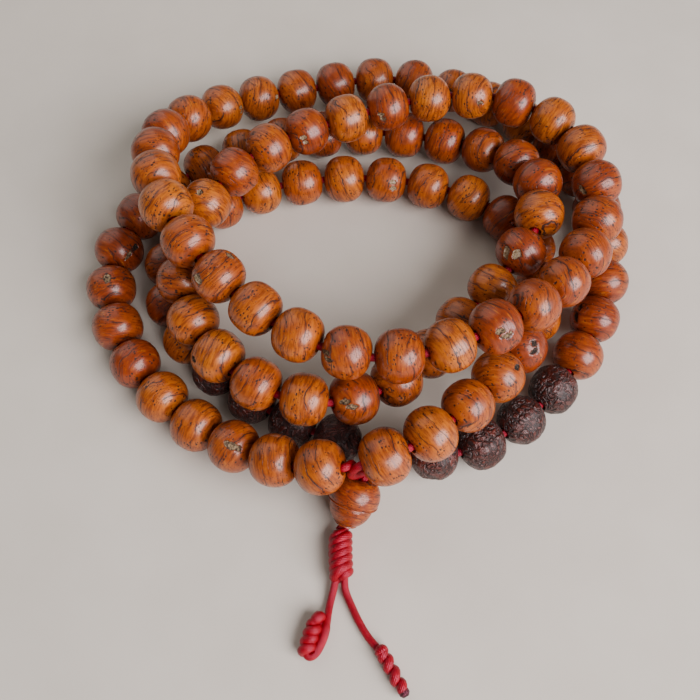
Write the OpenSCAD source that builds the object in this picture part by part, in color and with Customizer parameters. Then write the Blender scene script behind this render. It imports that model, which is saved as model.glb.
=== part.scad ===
// Prayer bead mala: a closed strand of 108 drilled seed beads, a turned guru bead
// and a short tassel knotted from the two ends of the stringing cord.
// Millimetres, +Z up. The mala lies in a heap on the plane z = 0.

/* [Beads] */
// Largest diameter of a bead
bead_d = 10; // [8:0.5:14]
// Length of a bead along its bore
bead_l = 8.6; // [7:0.1:11]
// Squareness of a bead's outline, where 2 is an ellipse
bead_squareness = 2.4; // [2:0.1:3]
// How much wider than the cord a bead's bore is
bead_bore_clearance = 0.9; // [0.5:0.1:1.6]

/* [Guru bead] */
// Largest diameter of the guru bead
guru_d = 9.4; // [8:0.2:12]
// Length of the guru bead along its bore
guru_l = 9; // [7:0.5:12]
// Height of the turned step between the bowl of the guru bead and its dome
guru_step = 0.7; // [0.2:0.1:1]
// How much wider than two cords side by side the guru bead's bore is
guru_bore_clearance = 0.4; // [0.2:0.1:1]
// Gap in the strand where the two cord ends turn down into the guru bead
guru_gap = 2.4; // [2:0.2:5]

/* [Cord and knots] */
// Diameter of the stringing cord
cord_d = 1.5; // [0.8:0.1:1.8]
// Diameter of the snake knot
snake_knot_d = 4.3; // [3.6:0.1:5.4]
// Length of the snake knot
snake_knot_l = 9; // [7:0.5:11]
// Rows of cord that show along the snake knot
snake_knot_rows = 7; // [5:1:9]
// Diameter of the wrapped knot on the left tail
left_knot_d = 3.4; // [3:0.1:4.4]
// Length of the wrapped knot on the left tail
left_knot_l = 8; // [6:0.5:10]
// Diameter of the knot on the right tail
right_knot_d = 2.8; // [2.4:0.1:3.6]
// Length of the knot on the right tail
right_knot_l = 9; // [7:0.5:11]

/* [Hidden] */
// The mala is strung with 108 beads. These runs of them show the raw, unpolished seed.
bead_count = 108;
raw_seeds = [80, 81, 82, 83, 85, 86, 87, 88];
// Beads of the upper coils and the one among the raw seeds turn on the cord by themselves.
single_beads = [for (i = [19:57]) i, 84];
// Beads that are kept together, by the stretch of the strand that they lie on.
bead_runs = [
    ["outer_left_beads", 1, 18],
    ["outer_back_and_right_beads", 58, 79],
    ["inner_left_beads", 89, 98],
    ["inner_right_beads", 99, 108]
];
$fn = 48;

wood = "peru";
raw_wood = [0.28, 0.14, 0.11];
cord_red = "crimson";

// Middle of the heap on the table: the part's origin.
centre = [2.2, 12.6, 0];

// Centreline of the strand for beads of 10 mm strung 9.05 mm apart, from the first bead
// round to the guru bead. The strand lies in three turns that cross over each other.
drawn_bead_d = 10;
drawn_bead_l = 8.6;
drawn_pitch = 9.05;
strand_route = [
    [-13, -26.5, 10], [-28, -18.5, 5], [-41, -6, 5], [-48, 11, 5], [-44.5, 28, 5],
    [-31.5, 41, 5], [-16, 48.5, 5], [1, 51, 5], [16.5, 49.5, 5], [30.5, 43, 8],
    [37.5, 31.5, 13.8], [34.5, 16.5, 15.5], [20.5, 1, 9.5], [6.5, -13.5, 12.5],
    [-9, -17, 15.3], [-24, -8.5, 15], [-32, 8, 14.5], [-28.5, 24.5, 15],
    [-18, 37.5, 15.2], [-4.5, 45.5, 14], [11.5, 50.5, 15], [28.5, 52.5, 15],
    [44, 43.5, 15.5], [49, 26, 15.5], [41.5, 8, 17.5], [27.5, -4.5, 21.8],
    [11.5, -11.5, 22], [-4.5, -10.5, 22.8], [-19, -1, 22.8], [-31, 12, 25],
    [-37.5, 28, 22], [-37.5, 45, 13.5], [-25, 57, 7.5], [-8.5, 63.5, 5], [8, 66.5, 5],
    [25, 62.5, 5], [39.5, 53, 5], [50, 38.5, 5], [52, 20.5, 5], [47, 2, 5],
    [33.5, -15.5, 5], [15.5, -24, 5], [-4, -20, 5], [-20, -11.5, 5], [-34, 3, 5],
    [-36.5, 19, 5], [-27, 31.5, 5], [-9, 37.5, 5], [9, 38, 5], [25, 33.5, 5],
    [36, 24, 5], [37.5, 8.5, 5.8], [29, -8.5, 12], [14, -23.5, 15.5], [0.5, -29, 15]
];

// Longer or thicker beads spread the strand on the table, thicker ones also raise it.
pitch_ratio = (bead_l + drawn_pitch - drawn_bead_l) / drawn_pitch;
spread = max(bead_d / drawn_bead_d, pitch_ratio);
lift = bead_d / drawn_bead_d;
route = [for (p = strand_route) [p.x * spread, p.y * spread, p.z * lift]];

// Cubic B-spline through the route, sampled evenly between its points.
route_samples = 16;
point_count = len(route);
function route_point(i) = route[(i + point_count) % point_count];
function spline_pole(i) =
    route_point(i) - (route_point(i - 1) - 2 * route_point(i) + route_point(i + 1)) / 6;
poles = [for (i = [0:point_count - 1]) spline_pole(i)];
function pole(i) = poles[(i + point_count) % point_count];
function spline(i, t) =
    (pow(1 - t, 3) * pole(i - 1)
     + (3 * pow(t, 3) - 6 * pow(t, 2) + 4) * pole(i)
     + (3 * t + 3 * pow(t, 2) - 3 * pow(t, 3) + 1) * pole(i + 1)
     + pow(t, 3) * pole(i + 2)) / 6;
function on_table(p) = [p.x, p.y, max(p.z, bead_d / 2)];
line = [
    for (i = [0:point_count], k = [0:route_samples - 1])
        if (i < point_count || k == 0) on_table(spline(i - 1, k / route_samples))
];

// Length along the strand at each sample, counted from the guru bead's place.
steps = [for (i = [1:len(line) - 1]) norm(line[i] - line[i - 1])];
reach = [for (i = 0, s = 0; i < len(line); s = s + (i < len(steps) ? steps[i] : 0), i = i + 1) s];
strand_l = reach[len(reach) - 1];
xs = [for (i = [0:len(line) - 1]) [reach[i], line[i].x]];
ys = [for (i = [0:len(line) - 1]) [reach[i], line[i].y]];
zs = [for (i = [0:len(line) - 1]) [reach[i], line[i].z]];
function wrapped(s) = s < 0 ? s + strand_l : s > strand_l ? s - strand_l : s;
function at(s) = [lookup(wrapped(s), xs), lookup(wrapped(s), ys), lookup(wrapped(s), zs)];
function unit(v) = v / norm(v);

// Beads sit evenly on the strand, apart from the gap left for the guru bead.
pitch = (strand_l - guru_gap) / bead_count;
tangent_step = 0.8;
function bead_s(i) = guru_gap / 2 + pitch * (i - 0.5);
bead_places = [for (i = [1:bead_count]) at(bead_s(i))];
bead_axes = [
    for (i = [1:bead_count])
        unit(at(bead_s(i) + tangent_step) - at(bead_s(i) - tangent_step))
];

// The guru bead stands on the table, leaning forward, clear of the beads above and behind it.
guru_axis = unit([-0.27, -0.74, -0.61]);
guru_top_l = guru_l * 0.45;
guru_over = at(0);
drawn_guru_d = 9.4;
guru_aside = 0.3;
guru_forward = 2.9;
guru_lean_rise = 0.5;
guru_clearance = 1.3;
guru_place = [
    guru_over.x + guru_aside,
    guru_over.y - guru_forward * lift - guru_clearance * (guru_d - drawn_guru_d),
    guru_d / 2 + guru_lean_rise
];
guru_top = guru_place - guru_axis * guru_top_l;
guru_mouth = guru_top + guru_axis * guru_l;
// The tassel swings where its neck leaves the guru bead's mouth.
pivot_out = 0.6;
tassel_pivot = guru_mouth + guru_axis * pivot_out;

bead_bore_d = cord_d + bead_bore_clearance;
cord_side_gap = 0.05;
guru_bore_d = 2 * cord_d + guru_bore_clearance;
cord_aside = (cord_d + cord_side_gap) / 2;

// Turns an object that stands along +Z so that it lies along the direction v.
module along(v) {
    rotate([0, acos(v.z / norm(v)), atan2(v.y, v.x)]) children();
}

// Half outline of a bead as a superellipse between the flat rims of its bore.
outline_steps = 14;
bore_rim = 0.25;
function bead_radius(share) = pow(1 - pow(abs(share), bead_squareness), 1 / bead_squareness);
function bead_share(k) = -cos(180 * k / outline_steps);
function bead_outline(length, diameter, bore) =
    let (rim_r = bore / 2 + bore_rim, rim_z = length / 2 * bead_radius(2 * rim_r / diameter))
    concat(
        [for (k = [0:outline_steps])
            let (share = bead_share(k), r = diameter / 2 * bead_radius(share))
            if (r > rim_r) [r, length / 2 * share]],
        [[rim_r, rim_z], [bore / 2, rim_z], [bore / 2, -rim_z], [rim_r, -rim_z]]
    );

module bead_body() {
    rotate_extrude() polygon(bead_outline(bead_l, bead_d, bead_bore_d));
}

module bead(i) {
    color(wood) translate(bead_places[i - 1]) along(bead_axes[i - 1]) bead_body();
}

module raw_seed(i) {
    color(raw_wood) translate(bead_places[i - 1]) along(bead_axes[i - 1]) bead_body();
}

module bead_run(first, last) {
    for (i = [first:last]) bead(i);
}

// The guru bead has a rounded bowl, a turned step and a smaller dome that ends at its mouth.
module guru_bead() {
    bowl_l = guru_l * 0.52;
    bowl_r = guru_d / 2;
    dome_r = bowl_r - guru_step;
    step_l = 0.3;
    dome_base = bowl_l + step_l;
    dome_l = guru_l - dome_base;
    mouth_r = guru_bore_d / 2 + 0.3;
    arc_steps = 8;
    bowl_start = -52;
    bowl_end = 10;
    dome_end = 64;
    bowl = [for (k = [0:arc_steps])
        let (a = bowl_start + (bowl_end - bowl_start) * k / arc_steps)
        [bowl_r * cos(a), bowl_l * (0.72 + 0.9 * sin(a))]];
    dome = [for (k = [0:arc_steps - 1])
        let (a = dome_end * k / arc_steps)
        [dome_r * cos(a), dome_base + dome_l * sin(a) / sin(dome_end)]];
    color(wood) translate(guru_top) along(guru_axis) rotate_extrude() polygon(concat(
        [[guru_bore_d / 2, 0], [mouth_r, 0]],
        [for (p = bowl) if (p.y > 0.3 && p.y < bowl_l) p],
        [[bowl_r * cos(bowl_end), bowl_l], [dome_r, bowl_l]],
        dome,
        [[mouth_r, guru_l], [guru_bore_d / 2, guru_l]]
    ));
}

// A tube of 8 sides swept along points, with its ends flat.
tube_sides = 8;
function swept_dir(points, i) =
    i == 0 ? unit(points[1] - points[0])
    : i == len(points) - 1 ? unit(points[i] - points[i - 1])
    : unit(unit(points[i + 1] - points[i]) + unit(points[i] - points[i - 1]));
function carried(side, dir) = unit(side - dir * (side * dir));
function first_side(dir) = abs(dir.z) < 0.8 ? unit(cross(dir, [0, 0, 1])) : unit(cross(dir, [1, 0, 0]));

module tube(points, diameter) {
    last = len(points) - 1;
    dirs = [for (i = [0:last]) swept_dir(points, i)];
    sides = [for (i = 0, s = first_side(dirs[0]); i <= last;
        i = i + 1, s = i <= last ? carried(s, dirs[i]) : s) s];
    rings = [for (i = [0:last], k = [0:tube_sides - 1])
        let (a = 360 * k / tube_sides, other = cross(dirs[i], sides[i]))
        points[i] + diameter / 2 * (cos(a) * sides[i] + sin(a) * other)];
    walls = [for (i = [0:last - 1], k = [0:tube_sides - 1])
        let (a = i * tube_sides + k, b = i * tube_sides + (k + 1) % tube_sides)
        [a + tube_sides, b + tube_sides, b, a]];
    start = [for (k = [0:tube_sides - 1]) k];
    end = [for (k = [tube_sides - 1:-1:0]) last * tube_sides + k];
    polyhedron(rings, concat([start], walls, [end]));
}

// The stringing cord is straight inside each bead and spans the gaps between them.
inside_share = 0.46;
guru_side = unit(cross(guru_axis, [0, 0, 1]));
cord_in_beads = [
    for (i = [1:bead_count], end = [-1, 1])
        bead_places[i - 1] + end * inside_share * bead_l * bead_axes[i - 1]
];
// Each end turns down between the two beads beside the gap and runs through the guru bead.
turn_drop = bead_d * 0.35;
mouth_out = bead_l / 2 + 0.3;
first_mouth = bead_places[0] - bead_axes[0] * mouth_out;
last_mouth = bead_places[bead_count - 1] + bead_axes[bead_count - 1] * mouth_out;
function turn_down(mouth, side) = [
    mouth,
    guru_over + [0, side * cord_aside, -turn_drop * 0.3],
    guru_over + [0, side * cord_aside, -turn_drop],
    guru_top - guru_axis * 1.2 + guru_side * side * cord_aside,
    guru_top - guru_axis * 0.3 + guru_side * side * cord_aside,
    guru_mouth - guru_axis * 0.8 + guru_side * side * cord_aside
];
function reversed(list) = [for (i = [len(list) - 1:-1:0]) list[i]];

module stringing_cord() {
    start = reversed(turn_down(first_mouth, 1));
    end = turn_down(last_mouth, -1);
    color(cord_red) tube(concat(start, cord_in_beads, end), cord_d);
}

// The tassel follows the guru bead's mouth, and a thicker snake knot starts farther out.
drawn_mouth = [-0.54, -35.55];
drawn_snake_knot_d = 4.3;
tassel_move = [
    guru_mouth.x - drawn_mouth.x,
    guru_mouth.y - drawn_mouth.y - max(0, snake_knot_d - drawn_snake_knot_d) / 2,
    0
];
drawn_cord_d = 1.5;
cord_growth = max(0, cord_d - drawn_cord_d) / 2;
function cord_route(points, side) =
    [for (p = points) p + tassel_move + cord_growth * [side, 0, 1]];

// Route of each tail, from the top of the snake knot to the end of its own knot.
left_tail_route = [
    [-2.1, -37, 2.15], [-2.15, -40, 2.15], [-2.15, -44.5, 2.15], [-2.6, -47.2, 1.2],
    [-3.2, -49.6, 0.8], [-3.5, -51.6, 1.3], [-3.8, -54, 1.6], [-4.4, -56, 1.6],
    [-5.4, -57.8, 1.5], [-6.6, -58.3, 1.5], [-7.1, -57.4, 1.6], [-6.7, -55.9, 1.7],
    [-6.1, -54.2, 1.7], [-5.5, -52.6, 1.7], [-4.9, -51, 1.6]
];
right_tail_route = [
    [-0.5, -37, 2.15], [-0.55, -40, 2.15], [-0.6, -44.5, 2.15], [-0.6, -46.9, 1.3],
    [0.3, -49.1, 0.8], [1.7, -52.1, 0.8], [3.4, -54.9, 0.8], [5, -56.7, 1.1],
    [6, -57.9, 1.25], [7.2, -59.8, 1.3], [8.2, -61.7, 1.3], [9.6, -64.2, 1.3]
];

module left_tail() {
    color(cord_red) tube(cord_route(left_tail_route, -1), cord_d);
}

module right_tail() {
    color(cord_red) tube(cord_route(right_tail_route, 1), cord_d);
}

// A knot of cord wound in rows: a round bar whose outline swells at every row.
module wound_knot(diameter, length, rows) {
    row_l = length / rows;
    swell = diameter * 0.06;
    row_steps = 6;
    end_r = diameter * 0.36;
    end_chamfer = 0.3;
    outline = [for (row = [0:rows - 1], k = [0:row_steps - 1])
        let (share = k / row_steps, bulge = swell * sin(180 * share))
        [diameter / 2 - swell + bulge, (row + share) * row_l]];
    rotate_extrude() polygon(concat(
        [[0, 0], [end_r, 0]],
        [for (p = outline) if (p.y > end_chamfer) p],
        [[diameter / 2 - swell, length - end_chamfer], [end_r, length], [0, length]]
    ));
}

snake_knot_top = [-1.3, -37.1, snake_knot_d / 2] + tassel_move;
neck_d = 1.8;
snake_knot_dir = unit([-0.02, -1, 0]);
left_knot_top = [-4.75, -51.2, left_knot_d / 2] + tassel_move;
left_knot_dir = unit([-0.26, -1, 0]);
left_knot_rows = 5;
right_knot_top = [5.1, -56.6, right_knot_d / 2] + tassel_move;
right_knot_dir = unit([0.5, -0.86, 0]);
right_knot_rows = 4;

// The two cords between the guru bead and the snake knot are drawn as one round neck.
module snake_knot() {
    neck = snake_knot_top - tassel_pivot;
    neck_inside = 0.5;
    color(cord_red) {
        translate(snake_knot_top) along(snake_knot_dir)
            wound_knot(snake_knot_d, snake_knot_l, snake_knot_rows);
        translate(tassel_pivot) sphere(d = neck_d);
        translate(tassel_pivot) along(neck) cylinder(d = neck_d, h = norm(neck) + neck_inside);
    }
}

module left_end_knot() {
    color(cord_red) translate(left_knot_top) along(left_knot_dir)
        wound_knot(left_knot_d, left_knot_l, left_knot_rows);
}

module right_end_knot() {
    color(cord_red) translate(right_knot_top) along(right_knot_dir)
        wound_knot(right_knot_d, right_knot_l, right_knot_rows);
}

module placed() {
    translate(-centre) children();
}

for (i = single_beads) placed() bead(i);
for (i = raw_seeds) placed() raw_seed(i);
for (run = bead_runs)
    placed() bead_run(run[1], run[2]);
placed() guru_bead();
placed() stringing_cord();
placed() snake_knot();
placed() left_tail();
placed() right_tail();
placed() left_end_knot();
placed() right_end_knot();
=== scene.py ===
import math
import random

import bpy
from mathutils import Matrix, Vector, noise


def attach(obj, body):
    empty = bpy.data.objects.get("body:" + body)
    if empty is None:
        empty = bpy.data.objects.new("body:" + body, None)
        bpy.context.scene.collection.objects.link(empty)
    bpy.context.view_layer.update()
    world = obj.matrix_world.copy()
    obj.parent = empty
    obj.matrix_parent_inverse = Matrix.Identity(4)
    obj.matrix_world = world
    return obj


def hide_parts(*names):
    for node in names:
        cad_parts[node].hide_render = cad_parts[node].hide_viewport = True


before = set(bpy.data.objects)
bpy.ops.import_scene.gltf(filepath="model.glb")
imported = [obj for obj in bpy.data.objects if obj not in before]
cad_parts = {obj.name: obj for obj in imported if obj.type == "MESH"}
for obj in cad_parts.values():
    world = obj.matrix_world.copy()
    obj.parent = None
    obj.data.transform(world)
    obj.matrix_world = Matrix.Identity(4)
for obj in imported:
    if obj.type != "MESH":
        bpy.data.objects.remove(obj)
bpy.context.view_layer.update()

MM = 0.001

# ---------------------------------------------------------------- places and sizes

# Middle of the heap on the table, which is the part's origin.
CENTRE = Vector((2.2, 12.6, 0))

BEAD_COUNT = 108
BEAD_R = 4.97
BEAD_HALF = 4.3
BEAD_SQUARENESS = 2.4
BORE_R = 1.2
# Flat ring round the mouth of a bead's bore.
BORE_RIM = 0.25
CORD_R = 0.75
TAIL_R = 0.66
GURU_GAP = 2.4
RAW_SEEDS = (80, 81, 82, 83, 85, 86, 87, 88)
TURNING_BEADS = tuple(range(19, 58)) + (84,)
BEAD_RUNS = {
    "outer_left_beads": range(1, 19),
    "outer_back_and_right_beads": range(58, 80),
    "inner_left_beads": range(89, 99),
    "inner_right_beads": range(99, 109),
}

# Height of a bead's centre when the bead lies on the table.
LOWEST_CENTRE = 5

# Centreline of the strand in millimetres, from the first bead round to the guru bead.
STRAND_ROUTE = [
    (-13, -26.5, 10), (-28, -18.5, 5), (-41, -6, 5), (-48, 11, 5), (-44.5, 28, 5),
    (-31.5, 41, 5), (-16, 48.5, 5), (1, 51, 5), (16.5, 49.5, 5), (30.5, 43, 8),
    (37.5, 31.5, 13.8), (34.5, 16.5, 15.5), (20.5, 1, 9.5), (6.5, -13.5, 12.5),
    (-9, -17, 15.3), (-24, -8.5, 15), (-32, 8, 14.5), (-28.5, 24.5, 15),
    (-18, 37.5, 15.2), (-4.5, 45.5, 14), (11.5, 50.5, 15), (28.5, 52.5, 15),
    (44, 43.5, 15.5), (49, 26, 15.5), (41.5, 8, 17.5), (27.5, -4.5, 21.8),
    (11.5, -11.5, 22), (-4.5, -10.5, 22.8), (-19, -1, 22.8), (-31, 12, 25),
    (-37.5, 28, 22), (-37.5, 45, 13.5), (-25, 57, 7.5), (-8.5, 63.5, 5), (8, 66.5, 5),
    (25, 62.5, 5), (39.5, 53, 5), (50, 38.5, 5), (52, 20.5, 5), (47, 2, 5),
    (33.5, -15.5, 5), (15.5, -24, 5), (-4, -20, 5), (-20, -11.5, 5), (-34, 3, 5),
    (-36.5, 19, 5), (-27, 31.5, 5), (-9, 37.5, 5), (9, 38, 5), (25, 33.5, 5),
    (36, 24, 5), (37.5, 8.5, 5.8), (29, -8.5, 12), (14, -23.5, 15.5), (0.5, -29, 15),
]
# Each tail in millimetres, from the top of the snake knot to the end of its own knot.
LEFT_TAIL_ROUTE = [
    (-2.1, -37, 2.15), (-2.15, -40, 2.15), (-2.15, -44.5, 2.15), (-2.6, -47.2, 1.2),
    (-3.2, -49.6, 0.8), (-3.5, -51.6, 1.3), (-3.8, -54, 1.6), (-4.4, -56, 1.6),
    (-5.4, -57.8, 1.5), (-6.6, -58.3, 1.5), (-7.1, -57.4, 1.6), (-6.7, -55.9, 1.7),
    (-6.1, -54.2, 1.7), (-5.5, -52.6, 1.7), (-4.9, -51, 1.6),
]
RIGHT_TAIL_ROUTE = [
    (-0.5, -37, 2.15), (-0.55, -40, 2.15), (-0.6, -44.5, 2.15), (-0.6, -46.9, 1.3),
    (0.3, -49.1, 0.8), (1.7, -52.1, 0.8), (3.4, -54.9, 0.8), (5, -56.7, 1.1),
    (6, -57.9, 1.25), (7.2, -59.8, 1.3), (8.2, -61.7, 1.3), (9.6, -64.2, 1.3),
]
GURU_AXIS = Vector((-0.27, -0.74, -0.61)).normalized()
GURU_L = 9.0
GURU_TOP_L = GURU_L * 0.45


def placed(point):
    """A point of the routes, in metres in the part's frame."""
    return (Vector(point) - CENTRE) * MM


def spline(points, closed, samples):
    """Cubic B-spline that passes close to the points, as a list of points."""
    count = len(points)

    def point(i):
        if closed:
            return Vector(points[i % count])
        if i < 0:
            return 2 * Vector(points[0]) - Vector(points[-i])
        if i >= count:
            return 2 * Vector(points[-1]) - Vector(points[2 * count - 2 - i])
        return Vector(points[i])

    def pole(i):
        return point(i) - (point(i - 1) - 2 * point(i) + point(i + 1)) / 6

    spans = count if closed else count - 1
    first = -1 if closed else 0
    line = []
    for i in range(first, first + spans + 1):
        for k in range(samples if i < first + spans else 1):
            t = k / samples
            line.append((
                (1 - t) ** 3 * pole(i - 1)
                + (3 * t ** 3 - 6 * t ** 2 + 4) * pole(i)
                + (3 * t + 3 * t ** 2 - 3 * t ** 3 + 1) * pole(i + 1)
                + t ** 3 * pole(i + 2)
            ) / 6)
    return line


class Strand:
    """The strand's centreline, measured from the guru bead's place."""

    def __init__(self):
        line = spline(STRAND_ROUTE, closed=True, samples=16)
        self.line = [Vector((p.x, p.y, max(p.z, LOWEST_CENTRE))) for p in line]
        self.reach = [0.0]
        for a, b in zip(self.line, self.line[1:]):
            self.reach.append(self.reach[-1] + (b - a).length)
        self.length = self.reach[-1]
        self.pitch = (self.length - GURU_GAP) / BEAD_COUNT

    def at(self, s):
        s = s % self.length
        low, high = 0, len(self.reach) - 1
        while high - low > 1:
            middle = (low + high) // 2
            if self.reach[middle] <= s:
                low = middle
            else:
                high = middle
        share = (s - self.reach[low]) / (self.reach[high] - self.reach[low])
        return self.line[low].lerp(self.line[high], share)

    def bead(self, number):
        """Place and bore direction of a bead."""
        s = GURU_GAP / 2 + self.pitch * (number - 0.5)
        return self.at(s), (self.at(s + 0.8) - self.at(s - 0.8)).normalized()


strand = Strand()
BEADS = {number: strand.bead(number) for number in range(1, BEAD_COUNT + 1)}
GURU_OVER = strand.at(0)
# The guru bead hangs in front of and below the gap between the first and last beads.
GURU_ASIDE = 0.3
GURU_FORWARD = 2.9
GURU_HEIGHT = 5.2
GURU_PLACE = Vector((GURU_OVER.x + GURU_ASIDE, GURU_OVER.y - GURU_FORWARD, GURU_HEIGHT))
GURU_TOP = GURU_PLACE - GURU_AXIS * GURU_TOP_L
GURU_MOUTH = GURU_TOP + GURU_AXIS * GURU_L

# ---------------------------------------------------------------- camera, light, floor


def make_camera():
    """The view from above the tassel, 64 degrees up, 170 mm from the routes' own zero."""
    rise = math.radians(64)
    roll = math.radians(0.4)
    distance = 170
    sensor = 36
    focal_share = 850 / 700
    target = placed((0, 0, 0))
    place = target + Vector((0, -math.cos(rise), math.sin(rise))) * distance * MM
    data = bpy.data.cameras.new("camera")
    data.sensor_width = sensor
    data.lens = sensor * focal_share
    data.clip_start = 0.005
    camera = bpy.data.objects.new("camera", data)
    bpy.context.collection.objects.link(camera)
    look = (target - place).to_track_quat("-Z", "Y").to_matrix().to_4x4()
    camera.matrix_world = Matrix.Translation(place) @ look @ Matrix.Rotation(roll, 4, "Z")
    bpy.context.scene.camera = camera


def make_light(name, direction, distance, size, power, tint):
    data = bpy.data.lights.new(name, "AREA")
    data.shape = "RECTANGLE"
    data.size, data.size_y = size
    data.energy = power
    data.color = tint
    light = bpy.data.objects.new(name, data)
    bpy.context.collection.objects.link(light)
    place = Vector(direction).normalized() * distance
    aim = place.to_track_quat("Z", "Y").to_matrix().to_4x4()
    light.matrix_world = Matrix.Translation(place) @ aim


def make_studio():
    make_light("window", (0.62, -0.52, 0.62), 0.7, (0.62, 0.5), 11.5, (1.0, 0.95, 0.97))
    make_light("room", (-0.6, 0.75, 0.75), 0.9, (1.0, 1.0), 3.2, (1.0, 0.96, 0.9))
    world = bpy.data.worlds.new("soft_room")
    world.use_nodes = True
    world.node_tree.nodes["Background"].inputs["Color"].default_value = (1, 0.98, 0.95, 1)
    world.node_tree.nodes["Background"].inputs["Strength"].default_value = 0.16
    bpy.context.scene.world = world


# ---------------------------------------------------------------- shader arithmetic


class Wire:
    """A value in a shader. Arithmetic on it adds Math nodes."""

    def __init__(self, shader, socket):
        self.shader = shader
        self.socket = socket

    def maths(self, operation, first, second):
        return self.shader.node("ShaderNodeMath", {"operation": operation}, {0: first, 1: second})

    def __add__(self, other):
        return self.maths("ADD", self, other)

    def __radd__(self, other):
        return self.maths("ADD", other, self)

    def __sub__(self, other):
        return self.maths("SUBTRACT", self, other)

    def __rsub__(self, other):
        return self.maths("SUBTRACT", other, self)

    def __mul__(self, other):
        return self.maths("MULTIPLY", self, other)

    def smaller(self, other):
        return self.maths("MINIMUM", self, other)

    def larger(self, other):
        return self.maths("MAXIMUM", self, other)


class Shader:
    """A material whose nodes are added one by one."""

    def __init__(self, name):
        self.material = bpy.data.materials.new(name)
        self.material.use_nodes = True
        self.tree = self.material.node_tree
        self.tree.nodes.clear()

    def node(self, kind, settings=None, inputs=None, output=0):
        made = self.tree.nodes.new(kind)
        for key, value in (settings or {}).items():
            if key == "stops":
                self.set_stops(made.color_ramp, value)
            else:
                setattr(made, key, value)
        for key, value in (inputs or {}).items():
            if isinstance(value, Wire):
                self.tree.links.new(value.socket, made.inputs[key])
            else:
                made.inputs[key].default_value = value
        return Wire(self, made.outputs[output])

    def set_stops(self, ramp, stops):
        while len(ramp.elements) < len(stops):
            ramp.elements.new(1)
        for element, (place, value) in zip(ramp.elements, stops):
            element.position = place
            element.color = (*value, 1) if isinstance(value, tuple) else (value, value, value, 1)

    def attribute(self, name, output=2):
        return self.node("ShaderNodeAttribute", {"attribute_name": name}, output=output)

    def noise(self, place, scale, detail=2.0, roughness=0.5):
        return self.node("ShaderNodeTexNoise", None, {
            "Vector": place, "Scale": scale, "Detail": detail, "Roughness": roughness,
        })

    def stretched(self, place, scale):
        return self.node("ShaderNodeVectorMath", {"operation": "MULTIPLY"}, {0: place, 1: scale})

    def shifted(self, place, shift):
        return self.node("ShaderNodeVectorMath", {"operation": "ADD"}, {0: place, 1: shift})

    def fade(self, value, low, high, start=0.0, end=1.0):
        """start below low, end above high, smooth between them."""
        return self.node("ShaderNodeMapRange", {"interpolation_type": "SMOOTHSTEP"}, {
            "Value": value, "From Min": low, "From Max": high, "To Min": start, "To Max": end,
        })

    def ramp(self, value, stops):
        return self.node("ShaderNodeValToRGB", {"stops": stops}, {"Fac": value})

    def blend(self, share, first, second, mode="MIX"):
        return self.node("ShaderNodeMix", {"data_type": "RGBA", "blend_type": mode}, {
            0: share, 6: first, 7: second,
        }, output=2)

    def bump(self, height, distance):
        return self.node("ShaderNodeBump", None, {
            "Height": height, "Distance": distance, "Strength": 1.0,
        })

    def finish(self, **inputs):
        names = {name.replace("_", " "): value for name, value in inputs.items()}
        surface = self.node("ShaderNodeBsdfPrincipled", None, names)
        output = self.tree.nodes.new("ShaderNodeOutputMaterial")
        self.tree.links.new(surface.socket, output.inputs["Surface"])
        return self.material


# ---------------------------------------------------------------- materials


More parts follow.
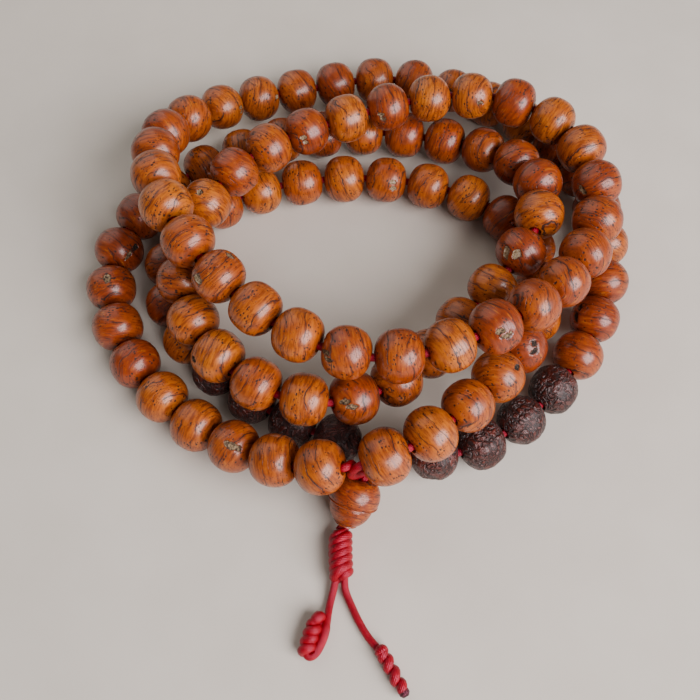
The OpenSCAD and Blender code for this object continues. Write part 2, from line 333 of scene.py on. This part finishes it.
def make_polished_seed():
    """Golden to red-brown seed with dark growth lines round the bore, pores and a gloss."""
    m = Shader("polished_seed")
    place = m.attribute("seed_place", output=1)
    tint = m.attribute("seed_tint")
    pit = m.attribute("seed_pit")
    pit_tone = m.attribute("pit_tone")

    clouds = m.noise(place, 0.16, detail=3)
    tone = tint * 0.62 + clouds * 0.55 - 0.1
    base = m.ramp(tone, [
        (0.0, (0.56, 0.165, 0.003)),
        (0.3, (0.42, 0.092, 0.002)),
        (0.6, (0.27, 0.036, 0.001)),
        (1.0, (0.12, 0.010, 0.001)),
    ])

    # Fine streaks of the seed's grain, drawn out round the bore.
    streaks = m.noise(m.stretched(place, (0.4, 0.4, 2.6)), 1.0, detail=4, roughness=0.62)
    base = m.blend(m.fade(streaks, 0.42, 0.66, 0.0, 0.72), base, (0.12, 0.014, 0.001, 1))
    base = m.blend(m.fade(streaks, 0.3, 0.42, 0.35, 0.0), base, (0.60, 0.20, 0.008, 1))

    # Growth lines: a few long dark rings round the bore, with finer ones in bundles.
    bend = m.noise(place, 0.16, detail=1) * 3.2 + m.noise(place, 0.9, detail=1) * 0.5
    along = m.node("ShaderNodeSeparateXYZ", None, {0: place}, output=2) + bend
    rings = m.node("ShaderNodeTexVoronoi", {
        "voronoi_dimensions": "1D", "feature": "DISTANCE_TO_EDGE",
    }, {"W": along, "Scale": 0.34})
    breaks = m.fade(m.noise(m.shifted(place, (70, 3, 55)), 0.25, detail=1), 0.40, 0.50)
    weight = m.noise(m.shifted(place, (5, 60, 9)), 0.9, detail=2)
    lines = m.fade(rings - weight * 0.028, 0.0, 0.014, 1.0, 0.0) * breaks
    stain = m.fade(rings, 0.0, 0.16, 0.7, 0.0) * breaks
    base = m.blend(stain * m.fade(streaks, 0.3, 0.6), base, (0.10, 0.012, 0.002, 1))
    fine_rings = m.node("ShaderNodeTexVoronoi", {
        "voronoi_dimensions": "1D", "feature": "DISTANCE_TO_EDGE",
    }, {"W": along + 7.3, "Scale": 1.3})
    bundle = m.fade(m.noise(m.shifted(place, (31, 5, 12)), 0.24, detail=1), 0.49, 0.58)
    lines = lines.larger(m.fade(fine_rings, 0.02, 0.075, 0.8, 0.0) * bundle)

    # Pores: short dark dashes, closer together beside the growth lines.
    cells = m.stretched(place, (1.0, 1.0, 1.7))
    pores = m.node("ShaderNodeTexVoronoi", {"feature": "F1"}, {
        "Vector": cells, "Scale": 1.05, "Randomness": 1.0,
    })
    chance = m.noise(m.shifted(place, (3, 41, 8)), 0.5, detail=1)
    pore_size = m.fade(chance, 0.42, 0.62, 0.06, 0.26)
    specks = m.fade(pores - pore_size, 0.0, 0.06, 1.0, 0.0)
    small = m.node("ShaderNodeTexVoronoi", {"feature": "F1"}, {
        "Vector": m.shifted(cells, (9, 2, 5)), "Scale": 2.2, "Randomness": 1.0,
    })
    small_size = m.fade(m.noise(m.shifted(place, (17, 23, 2)), 0.8), 0.45, 0.6, -0.1, 0.22)
    specks = specks.larger(m.fade(small - small_size, 0.0, 0.08, 0.9, 0.0))

    dark = lines.larger(specks)
    colour = m.blend(dark * 0.92, base, (0.016, 0.005, 0.004, 1))

    # Pits keep the seed's rough grey or cream inside.
    crust = m.noise(m.stretched(place, (3, 3, 1.6)), 1.0, detail=5, roughness=0.75)
    pit_colour = m.ramp(crust + pit_tone * 0.3 - 0.15, [
        (0.36, (0.010, 0.006, 0.005)),
        (0.48, (0.085, 0.050, 0.030)),
        (0.58, (0.30, 0.20, 0.10)),
        (0.72, (0.44, 0.36, 0.27)),
    ])
    ragged = pit + crust * 0.3 - 0.15
    inside = m.fade(ragged, 0.2, 0.32)
    rim = m.fade(ragged, 0.0, 0.16) * (1 - inside)
    colour = m.blend(rim * 0.8, colour, (0.05, 0.014, 0.007, 1))
    colour = m.blend(inside, colour, pit_colour)

    dull = m.fade(m.noise(place, 0.9, detail=3), 0.35, 0.75, 0.0, 0.09)
    rough = 0.33 + dull + dark * 0.2 + inside * 0.5
    relief = 0 - dark * 0.6 + m.noise(place, 0.7, detail=2) * 0.35 + inside * crust * 1.6
    normal = m.bump(relief, 0.00009)
    return m.finish(Base_Color=colour, Roughness=rough.smaller(0.95), Normal=normal,
                    Coat_Weight=(0.35 - inside * 0.35).larger(0.0), Coat_Roughness=0.2,
                    Specular_IOR_Level=0.42)


def make_raw_seed():
    """Unpolished seed: maroon-brown skin, creased all over, with a satin shine and painted shade in
    its low folds and creases.
    """
    m = Shader("raw_seed")
    place = m.attribute("seed_place", output=1)
    tint = m.attribute("seed_tint")
    warp = m.node("ShaderNodeTexNoise", None, {
        "Vector": place, "Scale": 0.32, "Detail": 2,
    }, output=1)
    bent = m.node("ShaderNodeVectorMath", {"operation": "MULTIPLY_ADD"}, {
        0: warp, 1: (7, 7, 7), 2: place,
    })
    cells = m.node("ShaderNodeTexVoronoi", {"feature": "DISTANCE_TO_EDGE"}, {
        "Vector": m.stretched(bent, (0.55, 0.55, 1.25)), "Scale": 1.0, "Randomness": 1.0,
    })
    crease = m.fade(cells, 0.0, 0.22, 1.0, 0.0) * m.fade(m.noise(place, 0.6, detail=2), 0.3, 0.5)
    folds = m.noise(m.stretched(bent, (0.7, 0.7, 1.7)), 0.9, detail=5, roughness=0.62)
    # Colour follows the folds' height, darker where they lie low: painted shade.
    colour = m.ramp(folds * 0.9 + tint * 0.3 - 0.1, [
        (0.15, (0.030, 0.004, 0.003)),
        (0.5, (0.070, 0.008, 0.004)),
        (0.85, (0.14, 0.018, 0.008)),
    ])
    # Creases darkened almost to black: painted shade.
    colour = m.blend(crease * 0.85, colour, (0.006, 0.002, 0.002, 1))
    height = folds * 1.5 - crease * 1.2
    return m.finish(Base_Color=colour, Roughness=0.34 + crease * 0.3,
                    Normal=m.bump(height, 0.00026), Specular_IOR_Level=0.6,
                    Coat_Weight=0.2, Coat_Roughness=0.3)


def make_red_cord(name, burnt):
    """Satin braided cord: fine threads wound round the cord, with a painted highlight on their
    crowns and painted shade between them.
    """
    m = Shader(name)
    run = m.attribute("cord_run", output=1)
    around = m.node("ShaderNodeSeparateXYZ", None, {0: run}, output=0)
    along = m.node("ShaderNodeSeparateXYZ", None, {0: run}, output=1)
    wound = (around * 9 + along * 1.9) * 2 * math.pi
    ribs = m.node("ShaderNodeMath", {"operation": "SINE"}, {0: wound}) * 0.5 + 0.5
    counter = (around * -9 + along * 1.9) * 2 * math.pi
    cross = m.node("ShaderNodeMath", {"operation": "SINE"}, {0: counter}) * 0.5 + 0.5
    weave = ribs * 0.6 + cross * 0.4
    patches = m.noise(m.node("ShaderNodeTexCoord", None, None, output=3), 900, detail=4)
    # The weave sets the colour: painted highlight on the threads' crowns and painted shade between
    # them, mixed with patches that vary at random.
    tone = weave * 0.45 + patches * 0.6
    colour = m.ramp(tone, [
        (0.2, (0.09, 0.0, 0.001)),
        (0.55, (0.28, 0.0, 0.006)),
        (0.9, (0.52, 0.0, 0.018)),
    ])
    if burnt:
        scorch = m.attribute("cord_burn")
        colour = m.blend(m.fade(scorch, 0.42, 0.6), colour, (0.022, 0.008, 0.008, 1))
    return m.finish(Base_Color=colour, Roughness=0.28 + patches * 0.2,
                    Normal=m.bump(weave + patches * 0.4, 0.00006),
                    Specular_IOR_Level=0.9, Specular_Tint=(1.0, 0.25, 0.42, 1))


def make_floor_paint():
    m = Shader("pale_floor")
    place = m.node("ShaderNodeTexCoord", None, None, output=3)
    grain = m.noise(place, 60, detail=3)
    colour = m.ramp(grain, [(0.3, (0.60, 0.55, 0.48)), (0.7, (0.64, 0.59, 0.52))])
    return m.finish(Base_Color=colour, Roughness=0.75)


POLISHED = make_polished_seed()
RAW = make_raw_seed()
CORD = make_red_cord("red_cord", burnt=False)
CORD_END = make_red_cord("red_cord_burnt_end", burnt=True)

# ---------------------------------------------------------------- making pieces


def select_only(piece):
    bpy.ops.object.select_all(action="DESELECT")
    piece.select_set(True)
    bpy.context.view_layer.objects.active = piece


def edit(piece, passes):
    """Opens edit mode with nothing selected but the vertices that pass the test."""
    select_only(piece)
    bpy.ops.object.mode_set(mode="EDIT")
    bpy.ops.mesh.select_mode(type="VERT")
    bpy.ops.mesh.select_all(action="DESELECT")
    bpy.ops.object.mode_set(mode="OBJECT")
    for vertex in piece.data.vertices:
        vertex.select = passes(vertex)
    bpy.ops.object.mode_set(mode="EDIT")


def turned_piece(name, outline, segments):
    """A closed solid of revolution about +Z: the outline is drawn point by point and spun."""
    bpy.ops.object.select_all(action="DESELECT")
    first = Vector((outline[0][0], 0, outline[0][1]))
    bpy.ops.mesh.primitive_plane_add(size=1, location=(0, 0, 0))
    piece = bpy.context.object
    piece.name = name
    bpy.ops.object.mode_set(mode="EDIT")
    bpy.ops.mesh.select_all(action="SELECT")
    bpy.ops.mesh.merge(type="CENTER")
    bpy.ops.transform.translate(value=first)
    places = [Vector((r, 0, z)) for r, z in outline]
    for here, there in zip(places, places[1:] + places[:1]):
        bpy.ops.mesh.extrude_region_move(TRANSFORM_OT_translate={"value": there - here})
    bpy.ops.mesh.select_all(action="SELECT")
    bpy.ops.mesh.spin(steps=segments, angle=2 * math.pi, center=(0, 0, 0), axis=(0, 0, 1))
    bpy.ops.mesh.select_all(action="SELECT")
    bpy.ops.mesh.remove_doubles(threshold=0.0001)
    bpy.ops.mesh.normals_make_consistent(inside=False)
    bpy.ops.object.mode_set(mode="OBJECT")
    return piece


def barrel_outline():
    """Half outline of a bead, from the lower mouth of its bore to the upper one."""
    steps = 26
    outline = []
    for k in range(steps + 1):
        share = -math.cos(math.pi * k / steps)
        r = BEAD_R * (1 - abs(share) ** BEAD_SQUARENESS) ** (1 / BEAD_SQUARENESS)
        if r > BORE_R + 0.22:
            outline.append((r, BEAD_HALF * share))
    rim = (BORE_R + BORE_RIM) / BEAD_R
    mouth = BEAD_HALF * (1 - rim ** BEAD_SQUARENESS) ** (1 / BEAD_SQUARENESS)
    wall = mouth - 0.3
    bevel_r = BORE_R + 0.1
    bore = [(bevel_r, mouth), (BORE_R, wall), (BORE_R, 0), (BORE_R, -wall), (bevel_r, -mouth)]
    return outline + bore


# Pits of single beads: degrees round the bore from the side that faces up, place along
# the bore as a share of half the length, length and width in millimetres, tone.
DARK, GREY, PALE = 0.0, 0.5, 0.8
PITS = {
    3: [(-17, -0.5, 2.3, 1.0, GREY)],
    6: [(70, 0.2, 1.3, 0.6, DARK)],
    8: [(3, -0.1, 1.6, 1.2, GREY)],
    9: [(58, 0.0, 1.4, 0.9, DARK), (52, -0.5, 1.9, 0.5, GREY)],
    12: [(40, 0.3, 1.2, 0.7, GREY)],
    21: [(-35, -0.2, 1.5, 0.8, DARK)],
    23: [(-4, 0.52, 1.5, 1.3, PALE), (27, 0.62, 1.5, 1.1, PALE)],
    28: [(-42, 0.48, 1.5, 0.7, GREY), (-28, 0.68, 1.5, 0.6, GREY)],
    31: [(-60, 0.3, 1.2, 0.7, DARK)],
    33: [(35, 0.5, 1.3, 0.6, DARK)],
    35: [(-2, -0.2, 1.2, 0.9, GREY)],
    38: [(52, -0.55, 1.0, 0.7, PALE), (66, -0.5, 1.0, 0.6, PALE)],
    40: [(56, -0.55, 1.0, 0.6, GREY), (70, -0.5, 1.0, 0.6, GREY)],
    42: [(60, 0.35, 1.1, 0.6, GREY)],
    46: [(66, 0.6, 1.6, 0.8, GREY)],
    51: [(-48, 0.25, 1.8, 0.7, GREY), (-34, 0.42, 1.7, 0.7, GREY)],
    54: [(-52, 0.62, 1.3, 0.6, GREY), (-38, 0.78, 1.3, 0.6, GREY)],
    57: [(-56, 0.25, 1.6, 1.3, PALE), (42, 0.1, 1.4, 0.9, GREY)],
    64: [(60, 0.55, 1.1, 0.6, GREY), (74, 0.6, 1.1, 0.6, GREY)],
    65: [(50, 0.7, 1.1, 0.7, PALE)],
    70: [(48, 0.1, 1.2, 0.7, GREY)],
    74: [(45, -0.4, 1.4, 0.8, DARK)],
    78: [(60, 0.5, 1.5, 0.8, DARK), (50, 0.1, 1.3, 0.6, DARK)],
    97: [(42, 0.35, 1.1, 0.7, PALE), (58, 0.4, 1.1, 0.7, PALE)],
    104: [(-40, 0.6, 1.2, 0.7, DARK), (-26, 0.4, 1.0, 0.7, DARK)],
    105: [(-26, -0.2, 1.2, 0.8, DARK)],
}
# Darkness of single beads, from 0, golden, to 1, red-brown. Others draw it at random.
TONES = {
    1: 0.3, 2: 0.32, 3: 0.45, 4: 0.3, 5: 0.22, 6: 0.75, 7: 0.6, 8: 0.65, 9: 0.75,
    22: 0.15, 23: 0.8, 24: 0.2, 25: 0.3, 26: 0.3, 46: 0.7, 47: 0.55, 48: 0.6, 49: 0.55,
    50: 0.5, 51: 0.65, 52: 0.15, 53: 0.55, 54: 0.5, 55: 0.3, 56: 0.3, 57: 0.45, 58: 0.4,
    59: 0.08, 84: 0.7, 105: 0.3, 106: 0.35, 107: 0.2, 108: 0.3,
}
# How far a pit goes in, and how far pits stay clear of the bore.
PIT_DEPTH = 0.32
MOUTH_MARGIN = 0.3


def roughen_surface(piece, number, rng):
    """Makes a bead a little uneven, as a turned seed is, without making it larger."""
    wobble = rng.uniform(0.05, 0.13)
    waist = rng.uniform(0.955, 1.0)
    shoulder = rng.uniform(-0.03, 0.012)
    shift = Vector((rng.uniform(0, 90), rng.uniform(0, 90), rng.uniform(0, 90)))
    flat = rng.uniform(-0.012, 0.0)
    raw = number in RAW_SEEDS
    for vertex in piece.data.vertices:
        p = vertex.co
        radius = math.hypot(p.x, p.y)
        if radius < BORE_R + 0.15:
            continue
        fall = min(1, (radius - BORE_R) / 2)
        uneven = (noise.noise(p * 0.28 + shift) - 0.45) * wobble
        if raw:
            lumps = noise.noise(p * 0.42 - shift) - 0.5
            wrinkle = Vector((p.x * 0.5, p.y * 0.5, p.z * 0.95))
            uneven += lumps * 0.28 + (noise.turbulence(wrinkle + shift, 4, True) - 0.9) * 0.16
        end = (p.z / BEAD_HALF) ** 2
        slim = waist - 1 + shoulder * end * (1 - end) * 4
        scale = 1 + (uneven / radius + flat * abs(p.x) / BEAD_R + slim) * fall
        p.x *= scale
        p.y *= scale


def pit_depth(p, pit):
    """Share of a pit's depth at a point of the bead, 0 outside it and 1 in its middle."""
    turn, along, long, wide, _ = pit
    long, wide = long * 1.3, wide * 1.4
    here = math.degrees(math.atan2(p.y, p.x))
    aside = math.radians((here - turn + 180) % 360 - 180) * math.hypot(p.x, p.y)
    ahead = p.z - along * BEAD_HALF
    ragged = 1 + 0.35 * noise.noise(p * 1.6 + Vector((along * 40, turn, 0)))
    reach = math.hypot(aside / wide, ahead / long) * 2 * ragged
    return max(0.0, 1 - reach ** 3) if reach < 1 else 0.0


def sink_pits(piece, pits):
    """Refines the mesh round each pit and pushes the pit in along the surface."""
    for pit in pits:
        wide = (pit[0], pit[1], pit[2] * 1.9, pit[3] * 2.1, pit[4])
        edit(piece, lambda v: v.co.xy.length > BORE_R + MOUTH_MARGIN and pit_depth(v.co, wide) > 0)
        bpy.ops.mesh.subdivide(number_cuts=2, smoothness=1)
        bpy.ops.object.mode_set(mode="OBJECT")
    depths = [0.0] * len(piece.data.vertices)
    tones = [0.5] * len(piece.data.vertices)
    for index, vertex in enumerate(piece.data.vertices):
        if vertex.co.xy.length < BORE_R + MOUTH_MARGIN:
            continue
        for pit in pits:
            depth = pit_depth(vertex.co, pit)
            if depth > depths[index]:
                depths[index] = depth
                tones[index] = pit[4]
        inward = Vector((vertex.co.x, vertex.co.y, vertex.co.z * 0.6)).normalized()
        vertex.co -= inward * min(depths[index] * 1.6, 1) * PIT_DEPTH
    return depths, tones


def add_values(piece, name, kind, values):
    layer = piece.data.attributes.new(name, kind, "POINT")
    layer.data.foreach_set("vector" if kind == "FLOAT_VECTOR" else "value", values)


def record_seed_space(piece, rng, tone, depths, tones, tilt=24, scale=1.0):
    """Keeps each point's place in the bead's own space, in millimetres, for its material."""
    offset = Vector((rng.uniform(0, 300), rng.uniform(0, 300), rng.uniform(0, 300)))
    turn = Matrix.Rotation(math.radians(rng.uniform(-tilt, tilt)), 3, "X")
    turn @= Matrix.Rotation(math.radians(rng.uniform(-tilt, tilt)), 3, "Y")
    count = len(piece.data.vertices)
    add_values(piece, "seed_place", "FLOAT_VECTOR",
               [c for v in piece.data.vertices for c in (turn @ v.co * scale + offset)])
    add_values(piece, "seed_tint", "FLOAT", [tone] * count)
    add_values(piece, "seed_pit", "FLOAT", depths)
    add_values(piece, "pit_tone", "FLOAT", tones)


def put_in_place(piece, place, axis, material, angle=40):
    """Moves a piece made about the origin to its place in the strand, in its mesh."""
    up = (Vector((0, 0, 1)) - axis * axis.z).normalized()
    side = axis.cross(up)
    turn = Matrix((up, side, axis)).transposed().to_4x4()
    piece.data.transform(Matrix.Translation(placed(place)) @ Matrix.Scale(MM, 4) @ turn)
    piece.data.materials.clear()
    piece.data.materials.append(material)
    select_only(piece)
    bpy.ops.object.shade_smooth_by_angle(angle=math.radians(angle))


def make_beads():
    blank = turned_piece("bead_blank", barrel_outline(), 48)
    for number, (place, axis) in BEADS.items():
        rng = random.Random(500 + number)
        raw = number in RAW_SEEDS
        name = f"raw_seed_{number}" if raw else f"bead_{number}"
        piece = bpy.data.objects.new(f"{name}_seed", blank.data.copy())
        bpy.context.collection.objects.link(piece)
        if raw:
            edit(piece, lambda v: v.co.xy.length > BORE_R + 0.15)
            bpy.ops.mesh.subdivide(number_cuts=1, smoothness=1)
            bpy.ops.object.mode_set(mode="OBJECT")
        roughen_surface(piece, number, rng)
        tone = TONES.get(number, rng.uniform(0.15, 0.75))
        depths, tones = sink_pits(piece, PITS.get(number, []))
        record_seed_space(piece, rng, tone, depths, tones)
        put_in_place(piece, place, axis, RAW if raw else POLISHED)
        alone = raw or number in TURNING_BEADS
        node = name if alone else next(run for run, beads in BEAD_RUNS.items() if number in beads)
        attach(piece, name if alone else "strand")
        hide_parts(node)
    bpy.data.objects.remove(blank)


def guru_outline():
    """Half outline of the guru bead from its top mouth: bowl, turned rim, smaller dome."""
    bore = 1.7
    bowl_r, bowl_l = 4.68, GURU_L * 0.52
    dome_r = bowl_r - 0.72
    dome_base = bowl_l + 0.34
    dome_l = GURU_L - dome_base
    dome_end = math.radians(64)
    outline = [(bore, 0.0), (bore + 0.3, 0.0)]
    for k in range(13):
        turn = math.radians(58 * k / 12 - 50)
        outline.append((bowl_r * math.cos(turn), bowl_l * (0.72 + 0.9 * math.sin(turn))))
    outline += [
        (bowl_r - 0.08, bowl_l - 0.42), (bowl_r - 0.17, bowl_l - 0.36),
        (bowl_r - 0.05, bowl_l - 0.28), (bowl_r - 0.01, bowl_l - 0.14),
        (bowl_r - 0.08, bowl_l), (bowl_r - 0.24, bowl_l + 0.08),
        (dome_r + 0.06, bowl_l + 0.12), (dome_r - 0.06, bowl_l + 0.2), (dome_r, bowl_l + 0.3),
    ]
    for k in range(1, 13):
        turn = dome_end * k / 12
        rise = dome_l * math.sin(turn) / math.sin(dome_end)
        outline.append((dome_r * math.cos(turn), dome_base + rise))
    outline[-1] = (bore + 0.4, GURU_L)
    return outline + [(bore + 0.1, GURU_L), (bore, GURU_L - 0.2), (bore, GURU_L / 2)]


def make_guru_bead():
    piece = turned_piece("guru_bead_turned", guru_outline(), 56)
    rng = random.Random(77)
    depths, tones = sink_pits(piece, [])
    record_seed_space(piece, rng, 0.6, depths, tones, tilt=5, scale=1.7)
    put_in_place(piece, GURU_TOP, GURU_AXIS, POLISHED, angle=34)
    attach(piece, "guru_bead")
    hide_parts("guru_bead")


# ---------------------------------------------------------------- cords and knots


def ring_frames(points):
    """A direction and two sides at each point, carried along without twisting."""
    frames = []
    side = None
    for i, point in enumerate(points):
        before = points[max(i - 1, 0)]
        after = points[min(i + 1, len(points) - 1)]
        ahead = (after - before).normalized()
        if side is None:
            helper = Vector((0, 0, 1)) if abs(ahead.z) < 0.8 else Vector((1, 0, 0))
            side = ahead.cross(helper).normalized()
        side = (side - ahead * side.dot(ahead)).normalized()
        frames.append((ahead, side, ahead.cross(side)))
    return frames


def cord_mesh(name, runs, sides, material):
    """One object of round cords. Each run is its points and radius, in millimetres."""
    vertices, faces, run_values = [], [], []
    for points, radius in runs:
        base = len(vertices)
        reach = 0.0
        last = len(points) - 1
        for i, (point, (ahead, side, other)) in enumerate(zip(points, ring_frames(points))):
            if i:
                reach += (point - points[i - 1]).length
            for k in range(sides):
                turn = 2 * math.pi * k / sides
                r = radius(i / last) if callable(radius) else radius
                out = side * math.cos(turn) + other * math.sin(turn)
                vertices.append(placed(point + out * r))
                run_values.append((abs(2 * k / sides - 1), reach, 0.0))
        for i in range(last):
            for k in range(sides):
                a = base + i * sides + k
                b = base + i * sides + (k + 1) % sides
                faces.append((a, b, b + sides, a + sides))
        faces.append(tuple(base + k for k in reversed(range(sides))))
        faces.append(tuple(base + last * sides + k for k in range(sides)))
    mesh = bpy.data.meshes.new(name)
    mesh.from_pydata(vertices, [], faces)
    piece = bpy.data.objects.new(name, mesh)
    bpy.context.collection.objects.link(piece)
    add_values(piece, "cord_run", "FLOAT_VECTOR", [c for value in run_values for c in value])
    mesh.materials.append(material)
    select_only(piece)
    bpy.ops.object.shade_smooth_by_angle(angle=math.radians(60))
    return piece


def winding(points, turns, radius, start, steps, slant):
    """A helix wound round a line of points.

    The radius is a function of the share of the way along. Slant tilts every turn, so that
    its right side lies higher.
    """
    line = spline(points, closed=False, samples=8)
    frames = ring_frames(line)
    count = int(turns * steps)
    path = []
    for k in range(count + 1):
        share = k / count * (len(line) - 1)
        low = min(int(share), len(line) - 2)
        centre = line[low].lerp(line[low + 1], share - low)
        ahead, side, other = frames[low]
        turn = start + 2 * math.pi * turns * k / count
        r = radius(k / count)
        out = side * math.cos(turn) * r + other * math.sin(turn) * r
        path.append(centre + out - ahead * out.x * slant)
    return path


def swelling(small, large, rise, fall):
    """A function that goes from small up to large and back, over two shares of the way."""
    def value(share):
        up = min(1, share / rise)
        down = min(1, (1 - share) / fall)
        return small + (large - small) * math.sin(min(up, down) * math.pi / 2)
    return value


def make_stringing_cord():
    """The cord through all the beads, straight in their bores, and down through the guru bead."""
    inside = 0.92 * BEAD_HALF
    aside = CORD_R + 0.025
    across = GURU_AXIS.cross(Vector((0, 0, 1))).normalized()

    def end(mouth, axis, side):
        return spline([
            mouth - axis * side * 1.6,
            mouth,
            GURU_OVER + Vector((0, side * aside, -1.05)),
            GURU_OVER + Vector((0, side * aside, -3.5)),
            GURU_TOP - GURU_AXIS * 1.2 + across * side * aside,
            GURU_TOP + across * side * aside,
            GURU_MOUTH - GURU_AXIS * 0.3 + across * side * aside,
        ], closed=False, samples=5)

    first, last = BEADS[1], BEADS[BEAD_COUNT]
    route = end(first[0] - first[1] * (BEAD_HALF + 0.3), -first[1], 1)[::-1]
    route += [first[0], first[0] + first[1] * inside]
    for number in range(2, BEAD_COUNT):
        place, axis = BEADS[number]
        route += [place - axis * inside, place, place + axis * inside]
    route += [last[0] - last[1] * inside, last[0]]
    route += end(last[0] + last[1] * (BEAD_HALF + 0.3), -last[1], -1)
    piece = cord_mesh("stringing_cord_braid", [(route, CORD_R)], 12, CORD)
    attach(piece, "strand")
    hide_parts("stringing_cord")


def measured(line):
    """Length of a line of points, in metres."""
    return sum((b - a).length for a, b in zip(line, line[1:])) * MM


def make_tail(name, node, route):
    """A tail of the cord, a round cord along its route."""
    line = spline(route, closed=False, samples=6)
    piece = cord_mesh(name, [(line, TAIL_R)], 14, CORD)
    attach(piece, "tassel")
    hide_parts(node)
    round(measured(line), 4)


def make_snake_knot():
    """Two strands laid round each other in rows, with the neck up to the guru bead."""
    bar = [(-1.4, -37.15, 2.25), (-1.45, -39.8, 2.25), (-1.35, -42.6, 2.25), (-1.15, -45.4, 2.2)]
    runs = []
    for start in (0.4, math.pi + 0.4):
        path = winding(bar, 3.25, swelling(0.4, 1.26, 0.16, 0.1), start=start, steps=26, slant=0.32)
        runs.append((path, swelling(0.56, 0.93, 0.16, 0.08)))
    pivot = GURU_MOUTH + GURU_AXIS * 0.1
    for side in (-1, 1):
        neck = [
            pivot + Vector((side * 0.5, 0.5, 0.3)),
            pivot + Vector((side * 0.5, -0.3, 0.05)),
            Vector((-1.4 + side * 0.5, -36.9, 2.25)),
        ]
        runs.append((spline(neck, closed=False, samples=5), 0.62))
    piece = cord_mesh("snake_knot_weave", runs, 16, CORD)
    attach(piece, "tassel")
    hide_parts("snake_knot")


def make_left_end_knot():
    """Wraps of the cord round its own folded-back end."""
    leg = [(-7.1, -57.9, 1.6), (-6.7, -56.1, 1.75), (-6.15, -54.4, 1.8), (-5.5, -52.6, 1.8)]
    path = winding(leg, 3.7, swelling(0.4, 0.68, 0.1, 0.1), start=0.6, steps=22, slant=-0.3)
    runs = [(path, swelling(0.6, 0.88, 0.12, 0.1))]
    top = [(-6.0, -53.1, 1.9), (-5.5, -52.3, 2.35), (-4.8, -51.8, 2.2), (-4.2, -52.2, 1.6)]
    runs.append((spline(top, closed=False, samples=5), swelling(0.5, 1.0, 0.4, 0.4)))
    valley = [(-4.5, -52.6, 1.3), (-5.0, -54.3, 1.35), (-5.6, -56, 1.35), (-6.2, -57.3, 1.3)]
    runs.append((spline(valley, closed=False, samples=5), 0.72))
    outer = [(-3.75, -52.4, 1.5), (-3.9, -54, 1.65), (-4.5, -55.9, 1.6), (-5.5, -57.6, 1.5)]
    runs.append((spline(outer, closed=False, samples=6), swelling(0.6, 0.84, 0.3, 0.3)))
    piece = cord_mesh("left_end_knot_wraps", runs, 14, CORD)
    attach(piece, "tassel")
    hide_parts("left_end_knot")
    return piece


def make_right_end_knot():
    """A row of overhand turns drawn tight, with the end melted to a dark tip."""
    bar = [(5.4, -57.0, 1.35), (6.5, -58.7, 1.35), (7.9, -61.2, 1.35), (9.3, -63.7, 1.3)]
    path = winding(bar, 3.9, swelling(0.2, 0.4, 0.06, 0.2), start=1.0, steps=22, slant=0.4)
    runs = [(path, swelling(0.5, 0.9, 0.05, 0.09))]
    first = [(5.1, -56.5, 1.4), (5.6, -57.2, 1.6), (6.1, -58.0, 1.5)]
    runs.append((spline(first, closed=False, samples=6), swelling(0.5, 1.2, 0.45, 0.5)))
    tip = Vector((9.35, -63.7, 1.3))
    away = Vector((0.48, -0.87, 0))
    runs.append(([tip - away * 0.9, tip - away * 0.3, tip + away * 0.3, tip + away * 0.8],
                 swelling(0.5, 1.0, 0.5, 0.5)))
    piece = cord_mesh("right_end_knot_turns", runs, 16, CORD_END)
    end = placed(tip + away * 0.6)
    burn = [max(0.0, 1 - (v.co - end).length / (2.6 * MM)) for v in piece.data.vertices]
    add_values(piece, "cord_burn", "FLOAT", burn)
    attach(piece, "tassel")
    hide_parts("right_end_knot")
    return piece


def make_floor():
    bpy.ops.object.select_all(action="DESELECT")
    bpy.ops.mesh.primitive_plane_add(size=3, location=(0, 0, 0))
    floor = bpy.context.object
    floor.name = "floor"
    floor.data.materials.append(make_floor_paint())


make_camera()
make_snake_knot()
left_knot = make_left_end_knot()
right_knot = make_right_end_knot()
make_tail("left_tail_cord", "left_tail", LEFT_TAIL_ROUTE)
make_tail("right_tail_cord", "right_tail", RIGHT_TAIL_ROUTE)
make_stringing_cord()
make_beads()
make_guru_bead()
make_floor()
make_studio()
